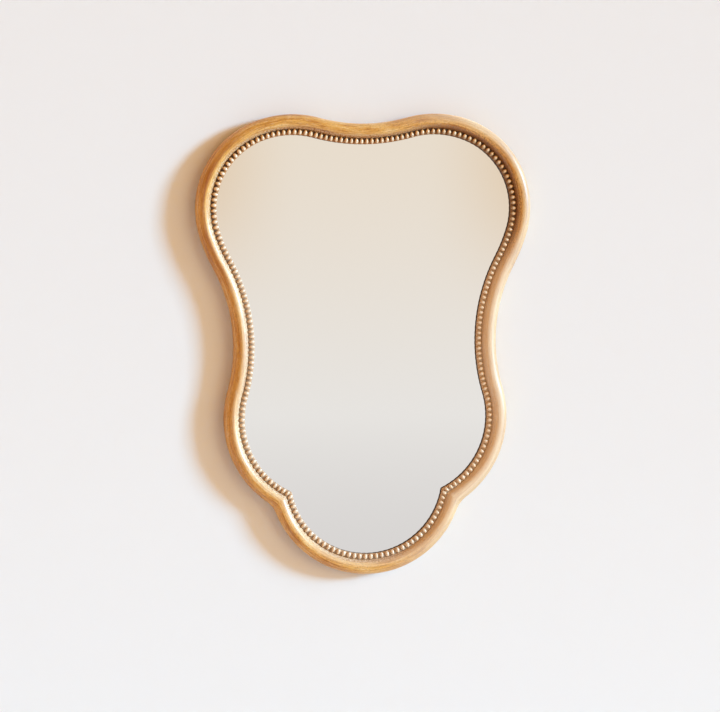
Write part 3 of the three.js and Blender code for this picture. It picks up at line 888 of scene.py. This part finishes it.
for nodeName, plate in plates.items():
    buildPlate(nodeName, *plate)
print("plates cut:", len(plates))


# screws, hangers and bumpers stand where their solids are
quarterTurn = [math.radians(angle) for angle in (30, 60, 90)]
weldDistance = 0.0005       # millimetres


def boxOf(nodeName):
    corners = [Vector(corner) / mm for corner in frame["nodes"][nodeName].bound_box]
    return [[pick(corner[axis] for corner in corners) for axis in range(3)] for pick in (min, max)]


def spun(profile, centre, steps):
    # turns a profile of (radius, y) about the y axis through a centre; it starts and ends on the axis
    bm = bmesh.new()
    row = [bm.verts.new((radius, y, 0)) for radius, y in profile]
    edges = [bm.edges.new(pair) for pair in zip(row, row[1:])]
    bmesh.ops.spin(bm, geom=row + edges, cent=(0, 0, 0), axis=(0, 1, 0),
                   angle=2 * math.pi, steps=steps, use_merge=True)
    bmesh.ops.remove_doubles(bm, verts=bm.verts, dist=weldDistance)
    bmesh.ops.translate(bm, verts=bm.verts, vec=(centre[0], 0, centre[1]))
    bmesh.ops.scale(bm, verts=bm.verts, vec=(mm, mm, mm))
    return bm


screws = {
    "board": (1.4, 3.0, 1.6),               # shank radius, head radius, head height
    "hanger": (1.6, 3.4, 1.8),
    "steps": 20,
    "tipWidth": 0.45, "tipLength": 1.6,     # the width is a share of the shank's
    "threadPitch": 1.3, "threadDepth": 0.22, "threadPlay": 0.1,
    "neck": 1.5,                            # plain shank under the head
    "rimHeight": 0.5, "flat": 0.72,         # of the head; the flat is a share of its radius
    "slotLength": 0.62, "slotWidth": 0.2,   # shares of the head's radius
    "slotDepth": 0.9, "slotTaper": 0.75,
    "seed": 11,
}


def crossRecess(bm, centre, y, radius, turn):
    # a tapered cross sunk into the middle of a head's flat top
    reach, half = radius * screws["slotLength"], radius * screws["slotWidth"]
    outline = []
    for quarter in range(4):
        angle = turn + quarter * math.pi / 2
        along = Vector((math.cos(angle), math.sin(angle)))
        beside = Vector((-math.sin(angle), math.cos(angle)))
        outline += [along * reach - beside * half, along * reach + beside * half, (along + beside) * half]

    def placesAt(level, share):
        return [Vector((centre[0] + p.x * share, level, centre[1] + p.y * share)) * mm for p in outline]

    top = max(bm.faces, key=lambda face: face.calc_center_median().y)
    rim = list(top.verts)
    bmesh.ops.delete(bm, geom=[top], context="FACES_ONLY")
    row = newRow(bm, placesAt(y, 1))
    bmesh.ops.bridge_loops(bm, edges=rowEdges(bm, row) + rowEdges(bm, rim))
    bm.faces.new(extruded(bm, row, placesAt(y - screws["slotDepth"], screws["slotTaper"])))


def buildScrew(nodeName, kind, chance):
    s = screws
    shank, head, headHeight = s[kind]
    (lowX, tip, lowZ), (highX, top, highZ) = boxOf(nodeName)
    centre = ((lowX + highX) / 2, (lowZ + highZ) / 2)
    bearing = top - headHeight
    flat = head * s["flat"]
    profile = [(0, tip), (shank * s["tipWidth"], tip + s["tipLength"])]
    y = tip + s["tipLength"] + s["threadPitch"] / 2
    while y + s["threadPitch"] < bearing - s["neck"]:
        profile += [(shank - s["threadDepth"], y), (shank + s["threadPlay"], y + s["threadPitch"] / 2)]
        y += s["threadPitch"]
    neck, rim = shank - s["threadPlay"], s["rimHeight"]
    profile += [(neck, y), (neck, bearing), (head, bearing), (head, bearing + rim)]
    profile += [(flat + (head - flat) * math.cos(turn), bearing + rim + (headHeight - rim) * math.sin(turn))
                for turn in quarterTurn]
    bm = spun(profile, centre, s["steps"])
    openEdges = [edge for edge in bm.edges if edge.is_boundary]
    bmesh.ops.holes_fill(bm, edges=openEdges, sides=s["steps"])
    crossRecess(bm, centre, top, head, chance.uniform(0, math.pi / 2))
    keep(nodeName, "metal", bm)


chance = random.Random(screws["seed"])
screwNodes = [name for name in frame["nodes"] if name.startswith(("board_screw", "hanger_screw"))]
for nodeName in sorted(screwNodes):
    buildScrew(nodeName, nodeName.split("_")[0], chance)
print("screws turned:", len(screwNodes))


bumper = {
    "radius": 7.0, "top": 5.7, "steps": 40,
    "dish": 0.35, "dishSlope": 0.6, "rimInner": 3.2, "rimOuter": 5.9,
    "waist": 0.25, "waistAt": 0.6, "footHeight": 0.4, "footEase": 0.3,
}


def buildBumper(nodeName):
    # a rubber foot that meets the wall with a ring, with a dished middle and a rounded rim
    b = bumper
    radius, top, rounding = b["radius"], b["top"], b["radius"] - b["rimOuter"]
    (lowX, _, lowZ), (highX, _, highZ) = boxOf(nodeName)
    profile = [(0, -b["dish"]), (b["rimInner"] - b["dishSlope"], -b["dish"]),
               (b["rimInner"], 0), (b["rimOuter"], 0)]
    profile += [(b["rimOuter"] + rounding * math.sin(turn), -rounding * (1 - math.cos(turn)))
                for turn in quarterTurn]
    profile += [(radius - b["waist"], -top * b["waistAt"]), (radius, -top + b["footHeight"]),
                (radius - b["footEase"], -top), (0, -top)]
    keep(nodeName, "pad", spun(profile, ((lowX + highX) / 2, (lowZ + highZ) / 2), b["steps"]))


hanger = {
    "width": 12.0, "thickness": 0.8, "length": 40.0, "endRadius": 4.0, "endSteps": 6,
    "barHeightOff": 3.3,        # the ring's bar, off the wall
    "loopOuter": 2.4,
    "curl": 243.0, "curlSteps": 18,
    "holes": (-34.0, -22.0), "holeRadius": 1.9, "holeSides": 16,    # below the bar
    "wire": 1.1, "wireSides": 12,
    "innerWidth": 16.0, "leg": 3.0, "corner": 2.4, "butt": 0.6,
    "barSteps": 2, "legSteps": 1, "cornerSteps": 8, "bowSteps": 26,
    "strapSharp": 40, "wireSharp": 50,
}


def circleRow(centre, radius, start, turn, count):
    angles = [start + turn * i / count for i in range(count + 1)]
    return [centre + radius * Vector((math.cos(angle), math.sin(angle))) for angle in angles]


def buildStrap(side, centreX, barZ):
    # the flat part is filled between its outline and its screw holes, then its top edge curls round the bar
    h = hanger
    bm = bmesh.new()
    front, back = h["loopOuter"], h["loopOuter"] - h["thickness"]      # from the bar's axis

    def at(x, up, height):
        return Vector((centreX + x, -height, barZ + up)) * mm

    half, radius, count = h["width"] / 2, h["endRadius"], h["endSteps"]
    low = -h["length"] + radius
    outline = [Vector((half, 0.0))] + circleRow(Vector((half - radius, low)), radius, 0, -math.pi / 2, count)
    outline += circleRow(Vector((radius - half, low)), radius, -math.pi / 2, -math.pi / 2, count)
    outline += [Vector((-half, 0.0))]
    loops = [outline]
    for hole in h["holes"]:
        loops.append(circleRow(Vector((0, hole)), h["holeRadius"], 0, 2 * math.pi, h["holeSides"])[:-1])
    rows = [newRow(bm, [at(point.x, point.y, h["barHeightOff"] + front) for point in loop]) for loop in loops]
    edges = [edge for row in rows for edge in rowEdges(bm, row)]
    corners = (rows[0][0], rows[0][-1])
    filled = bmesh.ops.triangle_fill(bm, edges=edges, use_beauty=True)["geom"]
    faces = [item for item in filled if isinstance(item, bmesh.types.BMFace)]
    grown = bmesh.ops.extrude_face_region(bm, geom=faces, use_keep_orig=True)["geom"]
    lifted = [item for item in grown if isinstance(item, bmesh.types.BMVert)]
    bmesh.ops.translate(bm, verts=lifted, vec=(0, h["thickness"] * mm, 0))
    partners = [min(lifted, key=lambda vert: (vert.co - corner.co).length) for corner in corners]
    row = [corners[0], corners[1], partners[1], partners[0]]
    endFace = next(face for face in bm.faces if set(face.verts) == set(row))
    bmesh.ops.delete(bm, geom=[endFace], context="FACES_ONLY")
    for i in range(1, h["curlSteps"] + 1):
        turn = math.radians(h["curl"]) * i / h["curlSteps"]
        ends = [(half, front), (-half, front), (-half, back), (half, back)]
        row = extruded(bm, row, [at(x, reach * math.sin(turn), h["barHeightOff"] + reach * math.cos(turn))
                                 for x, reach in ends])
    bm.faces.new(row)
    keep(f"hanger_strap_{side}", "metal", bm, sharpAngle=h["strapSharp"])


def buildRing(side, centreX, barZ):
    # a wire bent to a D: out along the bar, round a corner, down a leg, round the bow and back up
    h = hanger
    bow = h["innerWidth"] / 2 + h["wire"]
    bar = (bow - h["corner"] - h["butt"] / 2, 0, h["barSteps"])
    corner = (h["corner"] * math.pi / 2, -1 / h["corner"], h["cornerSteps"])
    leg = (h["leg"], 0, h["legSteps"])
    place, heading = Vector((h["butt"] / 2, 0.0)), 0.0
    stations = [(place, heading)]
    for length, bend, count in (bar, corner, leg, (bow * math.pi, -1 / bow, h["bowSteps"]), leg, corner, bar):
        step = length / count
        for _ in range(count):
            middle = heading + bend * step / 2
            chord = step if bend == 0 else 2 * math.sin(bend * step / 2) / bend
            place = place + chord * Vector((math.cos(middle), math.sin(middle)))
            heading += bend * step
            stations.append((place, heading))

    def wireRow(place, heading):
        beside = Vector((-math.sin(heading), math.cos(heading)))
        angles = [2 * math.pi * i / h["wireSides"] for i in range(h["wireSides"])]
        places = []
        for angle in angles:
            flat = place + beside * h["wire"] * math.cos(angle)
            height = h["barHeightOff"] + h["wire"] * math.sin(angle)
            places.append(Vector((centreX + flat.x, -height, barZ + flat.y)) * mm)
        return places

    bm = bmesh.new()
    lofted(bm, [wireRow(*station) for station in stations])
    keep(f"hanger_ring_{side}", "wire", bm, body=f"ring_{side}", sharpAngle=h["wireSharp"])


for side in ("left", "right"):
    (lowX, _, _), (highX, _, highZ) = boxOf(f"hanger_strap_{side}")
    buildStrap(side, (lowX + highX) / 2, highZ - hanger["loopOuter"])
    buildRing(side, (lowX + highX) / 2, highZ - hanger["loopOuter"])
    buildBumper(f"wall_bumper_{side}")
print("hangers bent, bumpers moulded")


room = {
    "wall": "#f0eeed",
    "floor": "#e9e7e4",
    "floorHeight": -1.25,
    "floorForward": 1.0,
    "reach": 7.0,
    "wallBehind": 0.0004,                   # keeps the wall clear of the bumpers
    "keyFrom": (0.897, -0.380, 0.225),      # the key light grazes the wall from the upper right
    "keySize": 11.0,                        # degrees across
    "keyStrength": 5.0,
    "keyColour": (0.29, 0.64, 0.97),
    "sideFrom": (0.88, -0.30, 0.37),        # a faint second light, whose long shadow shows at the lower left
    "sideSize": 2.5,
    "sideStrength": 0.38,
    "sideColour": (0.9, 0.97, 1.0),
    "glowFrom": (0.69, -0.70, 0.19),        # a broad warm light, which darkens the wall near the frame
    "glowSize": 42.0,
    "glowStrength": 0.92,
    "glowColour": (1.0, 0.81, 0.47),
    "backFrom": (1.7, 2.9, 2.0),            # metres; lights the back
    "backSize": 2.0,
    "backPower": 60.0,
    "backColour": (1.0, 1.0, 1.0),
    "frontFill": "#af8350",
    "sideFill": "#e5aa68",
    "fillStrength": 0.96,
    "mirrorTones": ((0.0, "#e0dedc"), (0.25, "#f0eeea"), (1.0, "#f2e6d4")),
    "mirrorBeside": "#e6c9a2",
    "mirrorSees": 0.162,                    # sideways share of the direction that the glass's middle shows
    "mirrorHeights": (-0.14, 0.05),         # spans of a direction's upward or sideways share
    "besideWidths": (0.02, 0.07),
    "besideHeights": (-0.05, 0.02),
    "besideShare": 0.8,
    "fillSides": (0.0, 0.8),                # spans of its squared sideways share
    "glossSides": (0.08, 0.3),
}


def stageLook(name, code):
    # pale from its front and clear from behind, so that it hides nothing from the back
    look = newLook(name)
    paint = look.node("ShaderNodeBsdfDiffuse", None, {"Color": tone(code)})
    clear = look.node("ShaderNodeBsdfTransparent")
    behind = look.node("ShaderNodeNewGeometry", output="Backfacing")
    look.end(look.node("ShaderNodeMixShader", None, {0: behind, 1: paint, 2: clear}))
    return look.holder


def stagePlane(name, matrix, code):
    bm = bmesh.new()
    bmesh.ops.create_grid(bm, x_segments=1, y_segments=1, size=room["reach"] / 2, matrix=matrix)
    plane = meshObject(name, bm, stageLook(name, code))
    return plane


wallCentre = (0, room["wallBehind"], room["floorHeight"] + room["reach"] / 2)
upright = Matrix.Rotation(math.pi / 2, 4, "X")
wall = stagePlane("room_wall", Matrix.Translation(wallCentre) @ upright, room["wall"])
wall.visible_shadow = False
stagePlane("room_floor", Matrix.Translation((0, -room["floorForward"], room["floorHeight"])), room["floor"])


def lamp(name, kind, strength, **settings):
    # a lamp that shines from its place at the mirror
    data = bpy.data.lights.new(name, kind)
    data.energy = strength
    data.color = room[f"{name}Colour"]
    for key, value in settings.items():
        setattr(data, key, value)
    made = placed(name, data)
    place = Vector(room[f"{name}From"])
    made.matrix_world = Matrix.Translation(place) @ aimed(-place)
    return made


for name in ("key", "side", "glow"):
    sun = lamp(name, "SUN", room[f"{name}Strength"], angle=math.radians(room[f"{name}Size"]))
    sun.visible_glossy = name != "glow"     # so broad a sun would lie on the gilding as a highlight
lamp("back", "AREA", room["backPower"], shape="DISK", size=room["backSize"])

# the world: a warm fill that is stronger from both sides; the mirror sees a pale room in front of it
sky = Look(bpy.data.worlds.new("room"))
bpy.context.scene.world = sky.holder
direction = sky.node("ShaderNodeTexCoord", output="Generated")
sideways, upDown = sky.axes(direction, "X", "Z")
aside = sideways * sideways
fillColour = sky.mix(aside.between(*room["fillSides"]), room["frontFill"], room["sideFill"])
pale = sky.ramp(upDown.between(*room["mirrorHeights"]), *room["mirrorTones"])
offAxis = sideways - room["mirrorSees"]
besideMirror = offAxis.maths("ABSOLUTE", offAxis, 0).between(*room["besideWidths"])
besideMirror = besideMirror * upDown.between(*room["besideHeights"]) * room["besideShare"]
pale = sky.mix(besideMirror, pale, room["mirrorBeside"])
reflection = sky.mix(aside.between(*room["glossSides"]), pale, fillColour)


def background(colour, strength):
    return sky.node("ShaderNodeBackground", None, {"Color": colour, "Strength": strength})


def rayMix(ray, without, along):
    ray = sky.node("ShaderNodeLightPath", output=ray)
    return sky.node("ShaderNodeMixShader", None, {0: ray, 1: without, 2: along})


unseen = rayMix("Is Glossy Ray", background(fillColour, room["fillStrength"]), background(reflection, 1.0))
sky.end(rayMix("Is Camera Ray", unseen, background(tone(room["wall"]), 1.0)), "ShaderNodeOutputWorld")
print("room lit")
